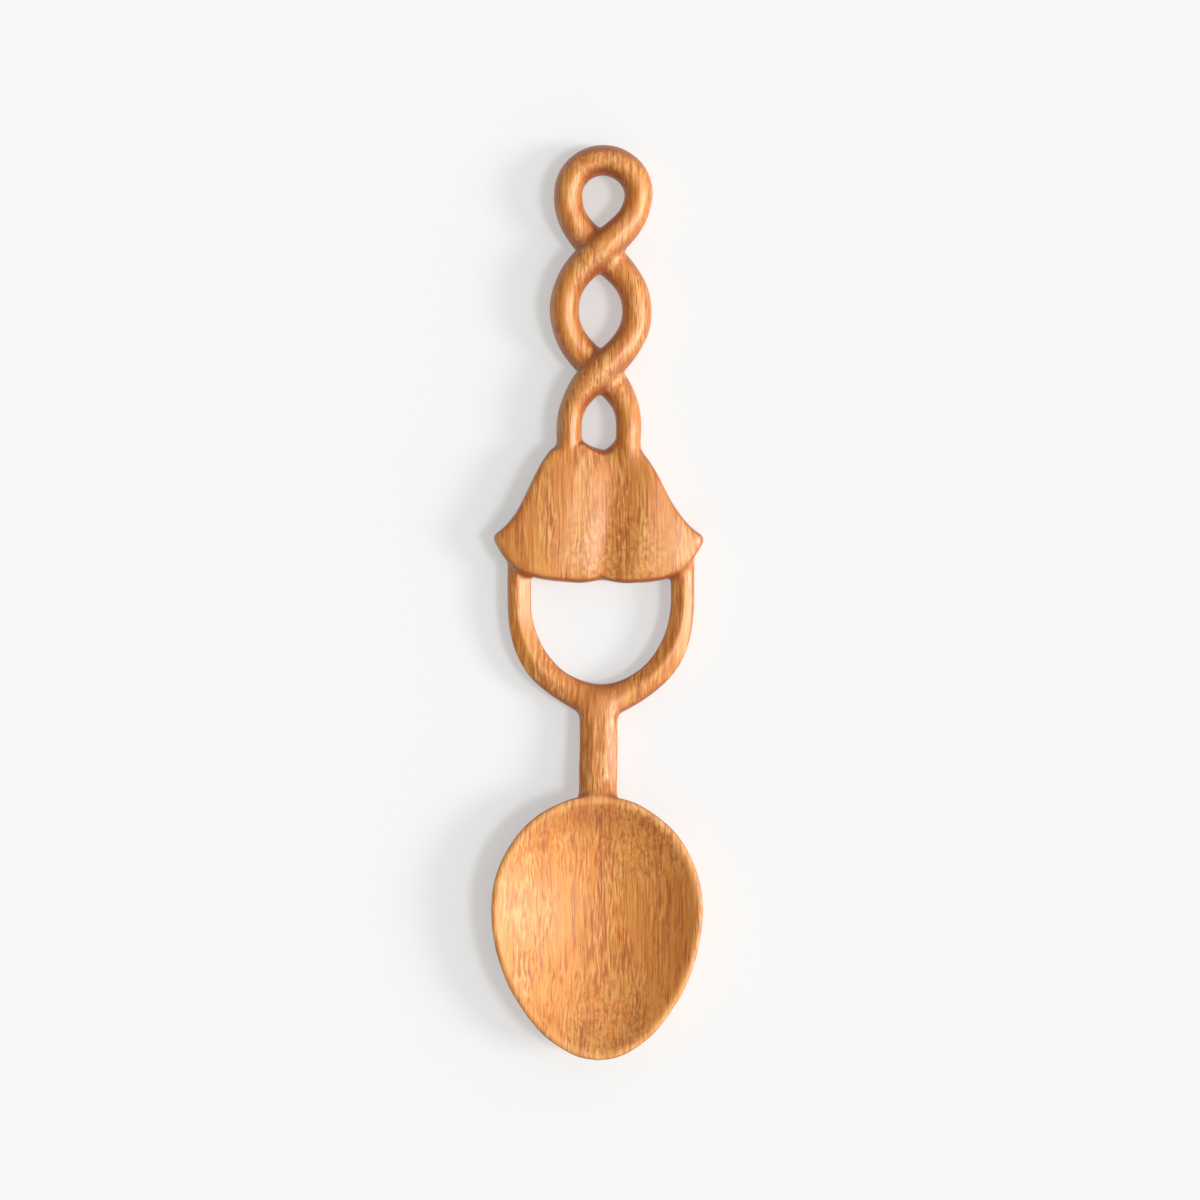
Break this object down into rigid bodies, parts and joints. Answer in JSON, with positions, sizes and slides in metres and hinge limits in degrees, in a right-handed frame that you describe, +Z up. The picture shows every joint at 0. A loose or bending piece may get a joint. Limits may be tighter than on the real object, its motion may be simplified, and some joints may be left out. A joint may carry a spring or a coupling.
{
  "type": "welsh love spoon",
  "caption": "Carved wooden love spoon with an egg-shaped bowl, a short stem, a horseshoe loop, twin bells and a rope-twist handle that closes in a hanging loop.",
  "frame": {"origin": "middle of the spoon's length and width, on the table it lies on", "axes": "+Y from the bowl's tip to the hanging loop, +Z up out of the carved front, +X to the right seen from the front"},
  "size_m": [0.056, 0.2401, 0.012],
  "materials": {
    "oiled_wood": "hand-carved hardwood, sanded, oiled to a satin sheen"
  },
  "bodies": {
    "root": {"bowl": "oiled_wood", "stem": "oiled_wood", "horseshoe_loop": "oiled_wood", "left_bell": "oiled_wood", "right_bell": "oiled_wood", "left_strand": "oiled_wood", "right_strand": "oiled_wood", "hanging_loop": "oiled_wood"}
  },
  "joints": []
}
